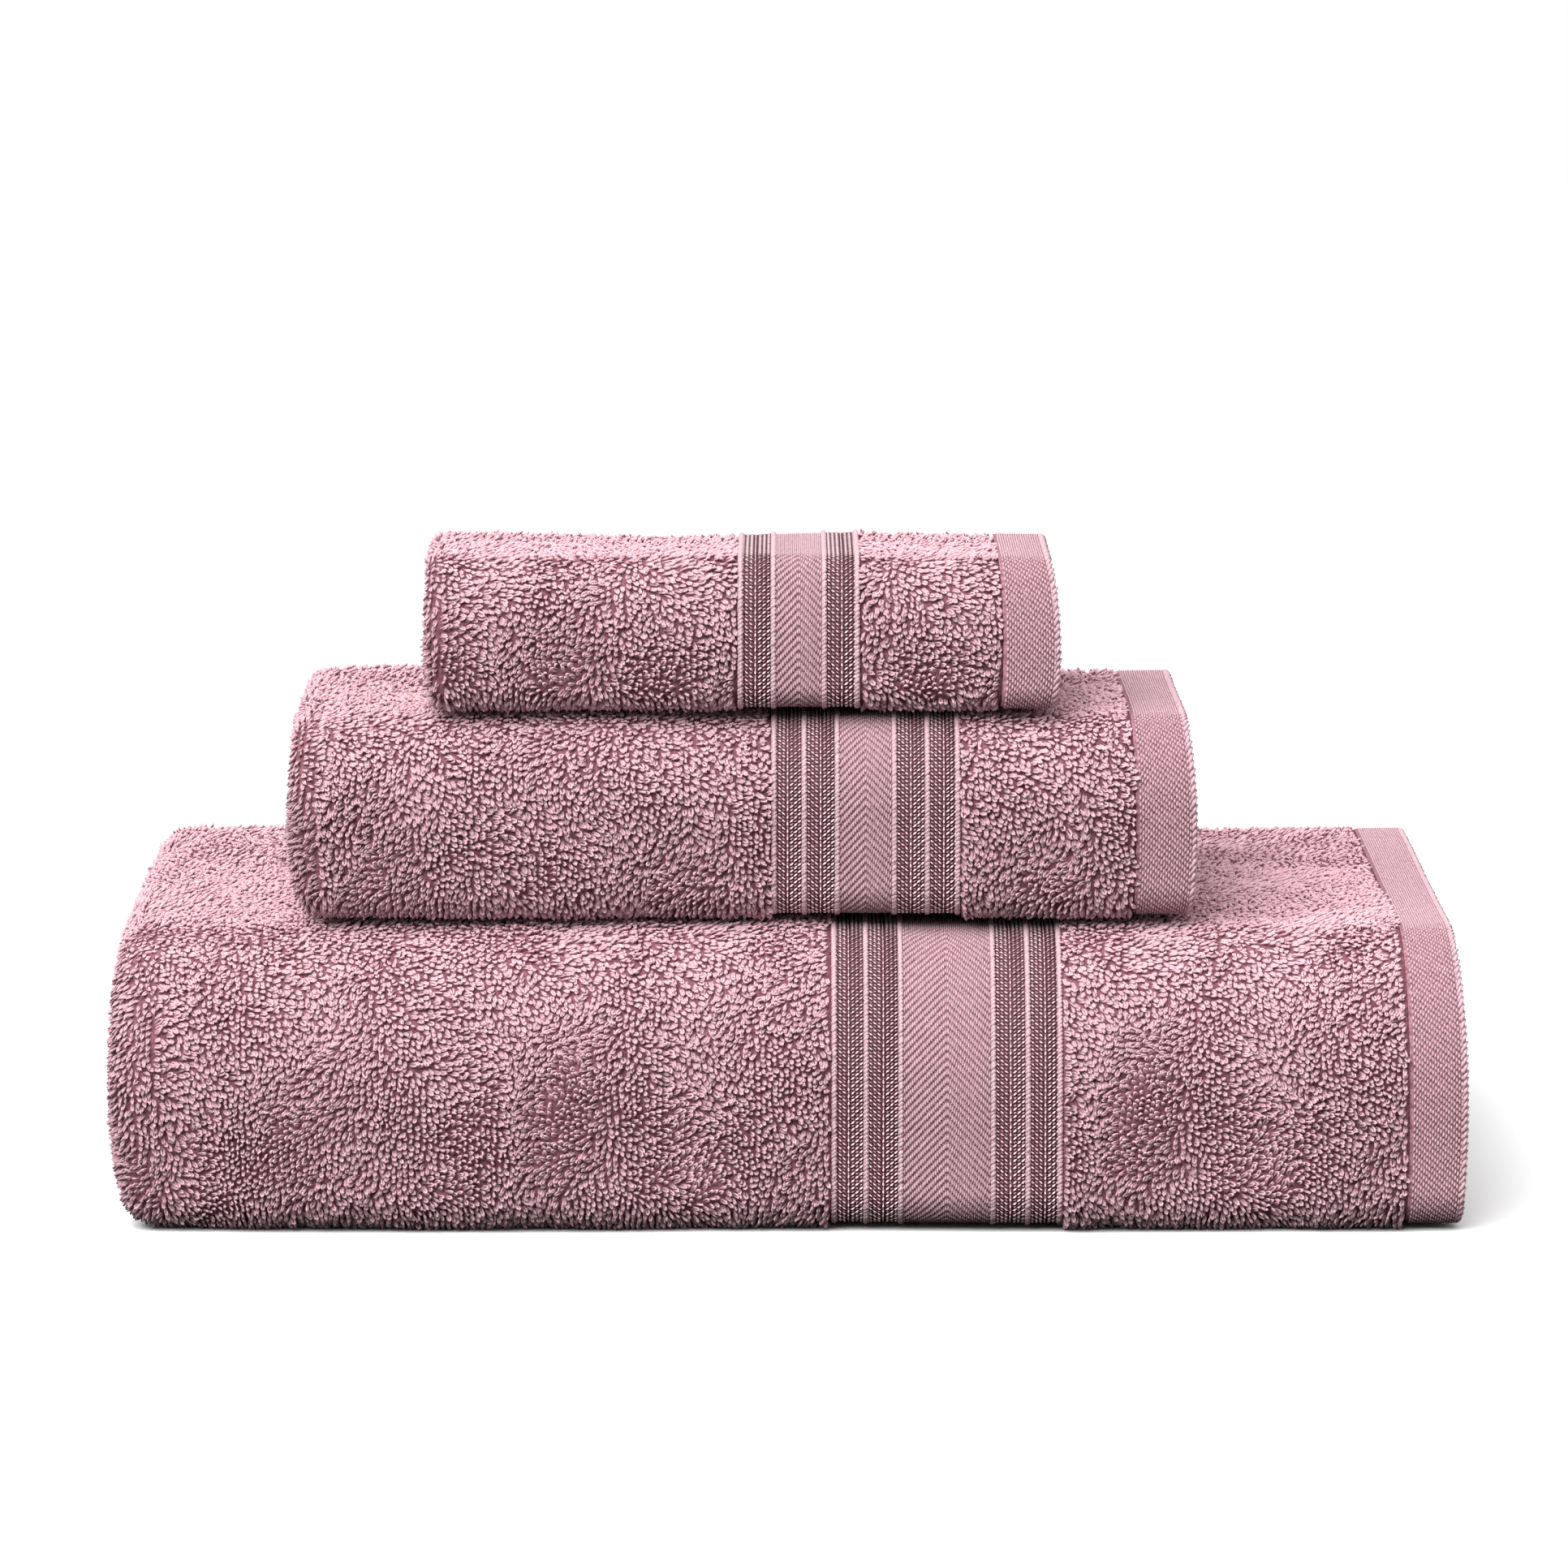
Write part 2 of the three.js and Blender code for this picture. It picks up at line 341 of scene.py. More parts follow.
def yarn_material(name, root, tip, roughness, sheen, spread):
    """Yarn that is dark at its root and pale at its tip, the dark root being painted shade where
    the yarn goes into the cloth; each strand a little lighter or darker.

    The map called OFBake holds the strand's own number across and the way up the strand.
    """
    made, tree, shader = new_material(name)
    place = tree.nodes.new("ShaderNodeUVMap")
    place.uv_map = "OFBake"
    split = tree.nodes.new("ShaderNodeSeparateXYZ")
    tree.links.new(place.outputs["UV"], split.inputs[0])
    between = tuple((a + b) / 2 for a, b in zip(root, tip))
    # The dark root end of this ramp is painted shade.
    colours = ramp(tree, list(zip(YARN_STOPS, (root, between, tip))))
    tree.links.new(split.outputs["Y"], colours.inputs["Fac"])
    strand = tree.nodes.new("ShaderNodeMapRange")
    strand.inputs["To Min"].default_value = 1 - spread
    strand.inputs["To Max"].default_value = 1 + spread
    tree.links.new(split.outputs["X"], strand.inputs["Value"])
    shade = tree.nodes.new("ShaderNodeVectorMath")
    shade.operation = "SCALE"
    tree.links.new(colours.outputs["Color"], shade.inputs[0])
    tree.links.new(strand.outputs["Result"], shade.inputs["Scale"])
    tree.links.new(shade.outputs["Vector"], shader.inputs["Base Color"])
    twist_scale = tree.nodes.new("ShaderNodeVectorMath")
    twist_scale.operation = "MULTIPLY"
    twist_scale.inputs[1].default_value = TWIST_REPEATS
    tree.links.new(place.outputs["UV"], twist_scale.inputs[0])
    twist = tree.nodes.new("ShaderNodeTexWave")
    twist.bands_direction = "DIAGONAL"
    twist.inputs["Scale"].default_value = TWIST_SCALE
    tree.links.new(twist_scale.outputs["Vector"], twist.inputs["Vector"])
    bump = tree.nodes.new("ShaderNodeBump")
    bump.inputs["Strength"].default_value = TWIST_STRENGTH
    bump.inputs["Distance"].default_value = TWIST_DEPTH
    tree.links.new(twist.outputs["Fac"], bump.inputs["Height"])
    tree.links.new(bump.outputs["Normal"], shader.inputs["Normal"])
    shader.inputs["Roughness"].default_value = roughness
    shader.inputs["Specular IOR Level"].default_value = 0.35
    shader.inputs["Sheen Weight"].default_value = sheen
    shader.inputs["Sheen Roughness"].default_value = 0.5
    shader.inputs["Sheen Tint"].default_value = SHEEN_TINT
    return made


def ground_material(name, dark, light, roughness, grain, depth, ribs=0):
    """Woven ground cloth: a fine grain of two shades, with bump of the same grain. With ribs, the
    bump is of diagonal twill ribs, so many to the metre."""
    made, tree, shader = new_material(name)
    place = tree.nodes.new("ShaderNodeTexCoord")
    noise = tree.nodes.new("ShaderNodeTexNoise")
    noise.inputs["Scale"].default_value = grain
    noise.inputs["Detail"].default_value = 3
    tree.links.new(place.outputs["Object"], noise.inputs["Vector"])
    colours = ramp(tree, [(0.35, dark), (0.65, light)])
    tree.links.new(noise.outputs["Fac"], colours.inputs["Fac"])
    tree.links.new(colours.outputs["Color"], shader.inputs["Base Color"])
    bump = tree.nodes.new("ShaderNodeBump")
    bump.inputs["Strength"].default_value = 0.8
    bump.inputs["Distance"].default_value = depth
    height = noise.outputs["Fac"]
    if ribs:
        wave = tree.nodes.new("ShaderNodeTexWave")
        wave.bands_direction = "DIAGONAL"
        wave.inputs["Scale"].default_value = ribs / WAVES_PER_UNIT_SCALE
        wave.inputs["Distortion"].default_value = 1.5
        tree.links.new(place.outputs["Object"], wave.inputs["Vector"])
        height = wave.outputs["Fac"]
    tree.links.new(height, bump.inputs["Height"])
    tree.links.new(bump.outputs["Normal"], shader.inputs["Normal"])
    shader.inputs["Roughness"].default_value = roughness
    shader.inputs["Specular IOR Level"].default_value = 0.2
    return made


def make_materials():
    """All the finishes, by name. Colours are linear."""
    return {
        # Each yarn's root colour is painted shade, darkest where the yarn goes into the cloth.
        "loop": yarn_material(
            "terry_yarn", root=(0.23, 0.078, 0.102), tip=(0.66, 0.41, 0.462), roughness=0.8,
            sheen=0.8, spread=0.12),
        "terry": ground_material(
            "terry_ground", dark=(0.15, 0.054, 0.072), light=(0.26, 0.108, 0.135), roughness=0.95,
            grain=900, depth=0.5 * MM),
        "float": yarn_material(
            "flat_weave_yarn", root=(0.36, 0.185, 0.22), tip=(0.61, 0.425, 0.465), roughness=0.7,
            sheen=0.35, spread=0.10),
        "weave": ground_material(
            "flat_weave_ground", dark=(0.24, 0.10, 0.125), light=(0.40, 0.215, 0.25), roughness=0.9,
            grain=1500, depth=0.25 * MM, ribs=620),
        "dash": yarn_material(
            "shiny_yarn", root=(0.26, 0.10, 0.12), tip=(0.88, 0.67, 0.71), roughness=0.42,
            sheen=0.0, spread=0.5),
        "band": ground_material(
            "shiny_ground", dark=(0.04, 0.01, 0.016), light=(0.11, 0.032, 0.045), roughness=0.7,
            grain=1500, depth=0.2 * MM),
    }


# ---------------------------------------------------------------- the fold


def arc(centre_a, centre_b, radius, start, stop, steps, stretch=1.0):
    """Points of an arc, with angles in degrees. The centre and radius may be columns. A stretch
    other than 1 makes it part of an ellipse."""
    angle = np.radians(np.linspace(start, stop, steps + 1))
    along_b = stretch * radius * np.sin(angle)
    return np.stack([centre_a + radius * np.cos(angle), centre_b + along_b], -1)


def line(a0, b0, a1, b1, steps):
    """Points of a straight stretch. The ends may be columns."""
    share = np.linspace(0, 1, steps + 1)
    return np.stack([a0 + (a1 - a0) * share, b0 + (b1 - b0) * share], -1)


def divided(path, counts):
    """A path with each of its stretches cut into the given number of steps."""
    pieces = [np.linspace(a, b, n, endpoint=False) for a, b, n in zip(path, path[1:], counts)]
    return np.concatenate([*pieces, path[-1:]])


def step_counts(path, step):
    """How many steps of about the given length each stretch of a path takes."""
    lengths = np.linalg.norm(np.diff(path, axis=0), axis=1)
    return np.maximum(1, np.ceil(lengths / step).astype(int))


def smooth_noise(u, v, wavelength, seed):
    """A smooth random field of about -1 to 1 over u and v, made of a few waves."""
    chance = np.random.default_rng(seed)
    total = np.zeros(np.broadcast(u, v).shape)
    waves = 7
    usual_peak = 1.4
    for _ in range(waves):
        heading, phase = chance.uniform(0, 2 * math.pi, 2)
        per_metre = 2 * math.pi / (wavelength * chance.uniform(0.6, 1.6))
        total += np.sin(per_metre * (u * math.cos(heading) + v * math.sin(heading)) + phase)
    return total / math.sqrt(waves / 2) / usual_peak


class Towel:
    """One folded towel: its sizes, from the frame and the folding plan, and its fold."""

    def __init__(self, name, body, plies, panels, pile, corners, flat, seed):
        self.name, self.body, self.plies, self.panels = name, body, plies, panels
        self.pile, self.flat, self.seed = pile, flat, seed
        self.upper_corner, self.lower_corner, self.upper_stretch = corners
        low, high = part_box(f"{name}_field")
        self.left, self.front, self.base = low
        self.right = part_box(f"{name}_hem_outer")[1].x
        self.depth = high.y - low.y
        self.height = high.z - low.z
        self.pitch = pile + GAP
        self.pack = len(plies) * self.pitch - GAP
        self.on_floor = self.base <= MM

    def middle(self, ply):
        """The depth of a ply's middle."""
        return ply * self.pitch + self.pile / 2

    def way(self, depths, start_stop=0.0, end_stop=0.0, step=CLOTH_STEP):
        """The way round the panels at each depth: points [depth, station, (y, z)], and the
        station at which each part begins. A stop keeps an end of the way off the cloth's edge."""
        d = np.asarray(depths, float)[:, None]
        lower = np.maximum(self.lower_corner - d, LEAST_CORNER)
        upper = np.maximum(self.upper_corner - d, LEAST_CORNER)
        tall = self.upper_stretch
        half = GAP / 2
        fold_y = self.depth - self.pack - half
        fold_z = self.height - self.pack - half
        inner_y = 2 * self.pack + 3 * half
        inner_z = self.height - 2 * self.pack - 3 * half
        back = self.depth - BACK_EDGE_SETBACK
        long = max(2, round(self.depth / step))
        short = max(2, round(self.height / step))
        middle_z = fold_z - (self.pack + half - d)
        middle_stop = self.pack + GAP + end_stop if self.panels == 3 else inner_y
        parts = [
            line(back - start_stop + 0 * d, d, d + lower, d, long),
            arc(d + lower, d + lower, lower, 270, 180, CORNER_STEPS),
            line(d, d + lower, d, self.height - d - tall * upper, short),
            arc(d + upper, self.height - d - tall * upper, upper, 180, 90, CORNER_STEPS, tall),
            line(d + upper, self.height - d, fold_y + 0 * d, self.height - d, long),
            arc(fold_y, fold_z, self.pack + half - d, 90, -90, PANEL_FOLD_STEPS),
            line(fold_y + 0 * d, middle_z, middle_stop + 0 * d, middle_z, long),
        ]
        if self.panels == 4:
            last_z = inner_z - half - d
            parts.append(arc(inner_y, inner_z, half + d, 90, 270, PANEL_FOLD_STEPS))
            parts.append(line(inner_y + 0 * d, last_z, back - end_stop + 0 * d, last_z, long))
        starts = np.cumsum([0] + [part.shape[1] - 1 for part in parts])
        points = np.concatenate([parts[0]] + [part[:, 1:] for part in parts[1:]], axis=1)
        return points, starts

    def face(self, first_x, last_x, offset):
        """One face of the cloth through all its plies, as [x, depth] points. A negative offset
        from the cloth's middle is the face that shows."""
        left = self.left + self.pack / 2
        right = self.right - HIDDEN_FOLD_SETBACK - self.pitch
        points = [np.array([[first_x, self.middle(self.plies[0]) + offset]])]
        for leg, (ply, following) in enumerate(zip(self.plies, self.plies[1:])):
            leftwards = leg % 2 == 0
            down = 1 if following > ply else -1
            radius = abs(following - ply) * self.pitch / 2 + (-down if leftwards else down) * offset
            centre = (self.middle(ply) + self.middle(following)) / 2
            turn = -180 * down if leftwards else 180 * down
            fold = arc(0, 0, 1, -90 * down, -90 * down + turn, PLY_FOLD_STEPS)
            if leg == 0:
                fold = np.sign(fold) * np.abs(fold) ** (2 / FOLD_SQUARENESS)
            points.append(fold * radius + [left if leftwards else right, centre])
        side = 1 if len(self.plies) % 2 == 1 else -1
        points.append(np.array([[last_x, self.middle(self.plies[-1]) + side * offset]]))
        return np.concatenate(points)

    def settled(self, points):
        """Points of the ideal fold, moved as the cloth's weight and handling leave them: the
        ends round off and draw in, and the top and front are a little uneven. Nothing sinks
        below the floor."""
        x, y, z = (points[..., i].copy() for i in range(3))
        up = np.clip((z - self.base) / self.height, 0, 1)
        back = np.clip((y - self.front) / (0.35 * self.depth), 0, 1)
        near_left = np.clip(1 - (x - self.left) / (LEFT_END_REACH * self.pack), 0, 1) ** 2
        rounding = (1 - up) ** 4 + LEFT_END_TOP_SHARE * (1 - back) * up ** 4
        x += near_left * rounding * LEFT_END_ROUNDING * self.pack
        near_right = np.clip(1 - (self.right - x) / RIGHT_END_REACH, 0, 1) ** 2
        x -= near_right * (RIGHT_END_DRAWN_IN * up ** 4 + RIGHT_END_TUCKED_IN * (1 - up) ** 6)
        z += up * smooth_noise(x, y * 0.8, TOP_WAVELENGTH, self.seed) * TOP_WAVE
        near_front = np.clip(1 - (y - self.front) / (0.3 * self.depth), 0, 1)
        y += near_front * smooth_noise(x, z * 1.3, FRONT_WAVELENGTH, self.seed + 1) * FRONT_WAVE
        z = np.maximum(z, CAD_BOX[0].z)
        return np.stack([x, y, z], -1)


# ---------------------------------------------------------------- meshes


def add_object(towel, name, points, triangles, finish, uvs=None):
    """A piece made of triangles, which rides on its towel's body."""
    mesh = bpy.data.meshes.new(name)
    mesh.vertices.add(len(points))
    mesh.vertices.foreach_set("co", points.astype(np.float32).ravel())
    mesh.loops.add(3 * len(triangles))
    mesh.loops.foreach_set("vertex_index", triangles.astype(np.int32).ravel())
    mesh.polygons.add(len(triangles))
    mesh.polygons.foreach_set("loop_start", np.arange(0, 3 * len(triangles), 3, dtype=np.int32))
    mesh.polygons.foreach_set("use_smooth", np.ones(len(triangles), bool))
    if uvs is not None:
        layer = mesh.uv_layers.new(name="OFBake")
        layer.data.foreach_set("uv", uvs.astype(np.float32).ravel())
    mesh.update(calc_edges=True)
    mesh.materials.append(MATERIALS[finish])
    made = bpy.data.objects.new(name, mesh)
    bpy.context.scene.collection.objects.link(made)
    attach(made, towel.body)
    return made


def add_strip(towel, name, x, way, finish):
    """A closed strip of cloth: corners round its outline, each with an x and a line of stations
    [corner, station, (y, z)]. The outline's second half runs back along its first."""
    corners, stations = way.shape[:2]
    x = np.broadcast_to(x[:, None], (corners, stations))
    points = np.stack([x, way[..., 0] + towel.front, way[..., 1] + towel.base], -1)
    points = towel.settled(points.reshape(-1, 3))
    i, j = np.meshgrid(np.arange(corners), np.arange(stations - 1), indexing="ij")
    a, b = i * stations + j, (i + 1) % corners * stations + j
    sides = np.stack([a, b, b + 1, a, b + 1, a + 1], -1).reshape(-1, 3)
    k = np.arange(corners // 2 - 1)
    across = corners - 1 - k
    cap = np.stack([k, across, across - 1, k, across - 1, k + 1], -1).reshape(-1, 3) * stations
    triangles = np.concatenate([sides, cap, cap[:, ::-1] + stations - 1])
    p = points[triangles]
    volume = np.einsum("ij,ij->i", p[:, 0], np.cross(p[:, 1], p[:, 2])).sum()
    if volume < 0:
        triangles = triangles[:, ::-1]
    return add_object(towel, name, points, triangles, finish)


def outline_of(outer, inner):
    """The outline round two matched faces of [x, depth] points, finely divided."""
    counts = step_counts(outer, CLOTH_STEP)
    return np.concatenate([divided(outer, counts), divided(inner, counts)[::-1]])


def sweep(towel, name, outer, inner, start_stop, end_stop, finish, slot):
    """A closed strip of cloth between two faces, swept the way round."""
    outline = outline_of(outer, inner)
    way, _ = towel.way(outline[:, 1], start_stop, end_stop)
    return add_strip(towel, name, outline[:, 0], way, finish)


def unit(vectors):
    """The vectors, each made one long."""
    return vectors / np.linalg.norm(vectors, axis=-1, keepdims=True)


def tube_pattern(stations, sides):
    """The triangles of one closed tube, and the place of each corner on the strand's map."""
    corners = []
    for j in range(stations - 1):
        for a in range(sides):
            corners.append([(j, a), (j, a + 1), (j + 1, a + 1)])
            corners.append([(j, a), (j + 1, a + 1), (j + 1, a)])
    for a in range(1, sides - 1):
        corners.append([(0, 0), (0, a + 1), (0, a)])
        corners.append([(stations - 1, 0), (stations - 1, a), (stations - 1, a + 1)])
    corners = np.array(corners)
    index = corners[..., 0] * sides + corners[..., 1] % sides
    up = 1 - np.abs(2 * corners[..., 0] / (stations - 1) - 1)
    return index, np.stack([0.02 * corners[..., 1] / sides, 0.02 + 0.96 * up], -1)


def add_tubes(towel, name, centres, across, radii, finish, tone, sides=3, pale=None):
    """Many short tubes as pieces: centres [tube, station, 3], a direction across each of them, the
    radius at each station, and each tube's tone from 0, dark, to 1. Where "pale" is given, it is
    how much of each tube's painted shade at its dark ends is lifted, painting it paler. Large
    numbers are shared over several pieces."""
    pattern, pattern_uv = tube_pattern(centres.shape[1], sides)
    per_piece = MOST_TRIANGLES // len(pattern)
    made = []
    shares = math.ceil(len(centres) / per_piece)
    for share, chosen in enumerate(np.array_split(np.arange(len(centres)), shares)):
        c = centres[chosen]
        tangent = unit(np.gradient(c, axis=1))
        b = across[chosen][:, None]
        b = unit(b - np.sum(b * tangent, -1, keepdims=True) * tangent)
        other = np.cross(tangent, b)
        turn = 2 * math.pi * np.arange(sides) / sides
        ring = np.cos(turn)[:, None] * b[:, :, None] + np.sin(turn)[:, None] * other[:, :, None]
        points = c[:, :, None] + np.asarray(radii)[None, :, None, None] * ring
        first = np.arange(len(c))[:, None, None] * (c.shape[1] * sides)
        triangles = (pattern[None] + first).reshape(-1, 3)
        uvs = np.repeat(pattern_uv[None], len(c), axis=0)
        uvs[..., 0] += 0.01 + 0.96 * tone[chosen][:, None, None]
        # Lifting the painted shade at the tube's ends paints it paler.
        if pale is not None:
            uvs[..., 1] = 1 - (1 - uvs[..., 1]) * (1 - pale[chosen][:, None, None])
        label = name if shares == 1 else f"{name}_{share + 1}"
        points = towel.settled(points.reshape(-1, 3))
        made.append(add_object(towel, label, points, triangles, finish, uvs))
    return made


# ---------------------------------------------------------------- yarn on the cloth


def laid_out(towel, path, pitch, span, row_shift, row_pitch):
    """Points set out over a face of the cloth: rows across the path, each a way round. Returns
    their places, the normal, the directions along the path and the way, and both distances."""
    lengths = np.linalg.norm(np.diff(path, axis=0), axis=1)
    along = np.concatenate([[0], np.cumsum(lengths)])
    rows = np.arange(row_pitch / 2, along[-1], row_pitch)
    x = np.interp(rows, along, path[:, 0])
    d = np.interp(rows, along, path[:, 1])
    # Directions are taken between points a little ahead and a little behind.
    row_reach, way_reach = 0.2 * MM, 0.3 * MM
    ahead = np.stack([np.interp(rows + row_reach, along, path[:, i]) for i in (0, 1)], -1)
    behind = np.stack([np.interp(rows - row_reach, along, path[:, i]) for i in (0, 1)], -1)
    heading = unit(ahead - behind)
    way, starts = towel.way(d, step=3 * MM)
    found = []
    for row in range(len(rows)):
        course = way[row]
        s = np.concatenate([[0], np.cumsum(np.linalg.norm(np.diff(course, axis=0), axis=1))])
        first = s[starts[span[0]]] + span[1]
        last = s[starts[span[2]]] + span[3]
        at = np.arange(first + row_shift(row) % 1 * pitch, last, pitch)
        y, z = (np.interp(at, s, course[:, i]) for i in (0, 1))
        ty, tz = (
            np.interp(at + way_reach, s, course[:, i]) - np.interp(at - way_reach, s, course[:, i])
            for i in (0, 1))
        found.append(np.stack([
            np.full(len(at), x[row]), y, z, ty, tz, np.full(len(at), heading[row, 0]),
            np.full(len(at), heading[row, 1]), np.full(len(at), rows[row]), at - first,
            np.full(len(at), row),
        ], -1))
    x, y, z, ty, tz, hx, hd, u, v, row = np.concatenate(found).T
    zero = np.zeros(len(x))
    place = np.stack([x, y + towel.front, z + towel.base], -1)
    round_ = unit(np.stack([zero, ty, tz], -1))
    inward = np.stack([zero, round_[:, 2], -round_[:, 1]], -1)
    sideways = np.stack([zero + 1, zero, zero], -1)
    along_path = hx[:, None] * sideways + hd[:, None] * inward
    normal = -hd[:, None] * sideways + hx[:, None] * inward
    return place, normal, along_path, round_, u, v, row


def add_pile(towel, name, path, span, loop, pitch, seed):
    """Terry loops over a face of the cloth, leaning together in slowly swirling directions."""
    chance = np.random.default_rng(seed)
    place, normal, along, round_, u, v, _ = laid_out(
        towel, path, pitch, span, lambda row: 0.5 * (row % 2) + 0.1 * math.sin(row), pitch)
    count = len(place)
    stray = chance.normal(0, PLACE_SPREAD * pitch, (2, count, 1))
    place = place + along * stray[0] + round_ * stray[1]
    up_share = (place[:, 2] - towel.base) / towel.height
    combed = np.clip((up_share - COMBED_FROM) / (1 - COMBED_FROM), 0, 1)
    wide, fine, swell = (
        size * smooth_noise(u, v, wavelength, seed + k)
        for k, (size, wavelength) in enumerate((WIDE_SWIRL, FINE_SWIRL, LEAN_SWELL)))
    heading = LOOP_HEADING + (1 - SWIRL_CALMED * combed) * (wide + fine)
    heading = heading + chance.normal(0, HEADING_SPREAD, count)
    lean = LEAN + LEAN_MORE * combed + swell * (1 - LEAN_CALMED * combed)
    lean = np.radians(lean + chance.normal(0, LEAN_SPREAD, count)).clip(*LEAN_LIMITS)
    over = np.cos(heading)[:, None] * along + np.sin(heading)[:, None] * round_
    twist = chance.normal(0, TWIST_SPREAD, count)[:, None]
    flat = np.cross(normal, over)
    across = unit(np.cos(twist) * flat + np.sin(twist) * over)
    length = LOOP_LENGTH * chance.normal(1, LENGTH_SPREAD, count).clip(*LENGTH_LIMITS)
    width = LOOP_HALF_WIDTH * chance.normal(1, WIDTH_SPREAD, count).clip(*WIDTH_LIMITS)
    shape = np.array(loop)
    w = (shape[:, 0] * width[:, None])[..., None]
    up = (shape[:, 1] * (length * np.cos(lean))[:, None])[..., None]
    out = (shape[:, 1] ** LOOP_CURL * (length * np.sin(lean))[:, None])[..., None]
    centres = place[:, None] + across[:, None] * w
    centres = centres + normal[:, None] * (up - LOOP_SINK) + over[:, None] * out
    lie = unit(np.cos(lean)[:, None] * normal + np.sin(lean)[:, None] * over)
    radii = np.full(len(loop), LOOP_YARN_RADIUS)
    # Upper loops get less of the painted root shade: painted light.
    return add_tubes(towel, name, centres, np.cross(across, lie), radii, "loop",
                     chance.random(count), pale=UPPER_LOOPS_PAINTED_LIGHT * combed)


def add_floats(towel, name, columns, depth, span, pitch, shift, length, radius, finish, seed,
               slant=None, rise=0.0, stations=4, tones=(0, 1), painted_shade_up=0.0, sides=3):
    """Short surface yarns in columns: the column at each x is shifted by shift(number, x), in
    pitches, and its yarns slant by slant(number, x) off the way round. Their tones lie in a range,
    and where they face up they are painted darker, as painted shade."""
    chance = np.random.default_rng(seed)
    centres, across, tone = [], [], []
    t = np.linspace(-1, 1, stations)
    for number, x in enumerate(columns):
        path = np.array([[x + pitch, depth], [x - pitch, depth]])
        place, normal, _, round_, _, _, _ = laid_out(
            towel, path, pitch, span, lambda row: shift(number, x), 2 * pitch)
        place = place.copy()
        place[:, 0] = x
        count = len(place)
        tilt = (slant(number, x) if slant else 0) + chance.normal(0, TILT_SPREAD, count)
        heading = np.cos(tilt)[:, None] * round_ + np.sin(tilt)[:, None] * np.array([1, 0, 0])
        stray = chance.normal(0, radius, (2, count, 1))
        place += normal * LIFT_SPREAD * stray[0] + round_ * SLIDE_SPREAD * stray[1]
        reach = (t * length / 2)[None, :, None]
        bow = (rise + radius * (FLOAT_RISE - FLOAT_DIP * t ** 4))[None, :, None]
        centres.append(place[:, None] + heading[:, None] * reach + normal[:, None] * bow)
        across.append(np.cross(normal, heading))
        shade = tones[0] + (tones[1] - tones[0]) * chance.random(count)
        # Strokes facing up are painted darker: painted shade.
        tone.append(shade * (1 - painted_shade_up * np.clip(normal[:, 2], 0, 1)))
    radii = radius * (1 - FLOAT_THINNING * np.abs(t) ** 3)
    return add_tubes(towel, name, np.concatenate(centres), np.concatenate(across), radii, finish,
                     np.concatenate(tone), sides)


def add_rope(towel, name, x, depth, span, seed, cord):
    """A two-ply cord along the way round, as slanting turns that overlap. The cord is given by
    its radius, pitch and rise."""
    radius, pitch, rise = cord
    return add_floats(
        towel, name, [x], depth, span, pitch, lambda n, at: 0, TURN_LENGTH * pitch, radius,
        "float", seed, slant=lambda n, at: TURN_SLANT, rise=rise,
        tones=TURN_TONES, sides=5)


# ---------------------------------------------------------------- one towel


def flat_faces(towel, ply, x0, x1, thickness, recess=0.0):
    """The two faces of a strip that lies in one ply."""
    outer = towel.middle(ply) - thickness / 2 + recess
    inner = towel.middle(ply) + thickness / 2
    return np.array([[x0, outer], [x1, outer]]), np.array([[x0, inner], [x1, inner]])


def zone(towel, name):
    """The right and left edges of a woven zone, each moved out by half of the CAD gap."""
    low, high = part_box(f"{towel.name}_{name}")
    return high.x + GAP / 2, low.x - GAP / 2


def add_cloth(towel):
    """The ground cloth of every zone, as closed strips. Returns them all, and the field's face."""
    stop = SIDE_HEM_WIDTH + GAP / 2
    strips = []
    zones = (
        ("hem", HEM_THICKNESS, "weave", "flat_weave"),
        ("end_pile", towel.pile, "terry", "terry"),
        ("band_near", BORDER_THICKNESS, "band", "shiny_weave"),
        ("herringbone", BORDER_THICKNESS, "weave", "flat_weave"),
        ("band_far", BORDER_THICKNESS, "band", "shiny_weave"),
    )
    for where, ply in (("outer", towel.plies[0]), ("inner", towel.plies[-1])):
        for kind, thickness, finish, slot in zones:
            right, left = zone(towel, f"{kind}_{where}")
            recess = PILE_HEIGHT if kind == "end_pile" and where == "outer" else 0
            faces = flat_faces(towel, ply, right, left, thickness, recess)
            node = f"{towel.name}_{kind}_{where}"
            strip = sweep(towel, f"{node}_cloth", *faces, stop, stop, finish, slot)
            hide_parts(node)
            strips.append(strip)
    first = zone(towel, "band_far_outer")[1]
    inner_right, inner_left = zone(towel, "band_far_inner")
    last = inner_right if len(towel.plies) % 2 == 1 else inner_left
    shown = towel.face(first, last, -towel.pile / 2 + PILE_HEIGHT)
    hidden = towel.face(first, last, towel.pile / 2 - HIDDEN_FACE_INSET)
    field = sweep(towel, f"{towel.name}_field_cloth", shown, hidden, stop, stop, "terry", "terry")
    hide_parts(f"{towel.name}_field")
    inner_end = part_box(f"{towel.name}_hem_inner")[0 if len(towel.plies) % 2 == 1 else 1].x
    edge = [towel.face(towel.right, inner_end, side * SIDE_HEM_THICKNESS / 2) for side in (-1, 1)]
    strips.append(add_side_hem(towel, "side_hem_under", edge, tucked=False))
    strips.append(add_side_hem(towel, "side_hem_tucked", edge, tucked=True))
    return field, strips, shown


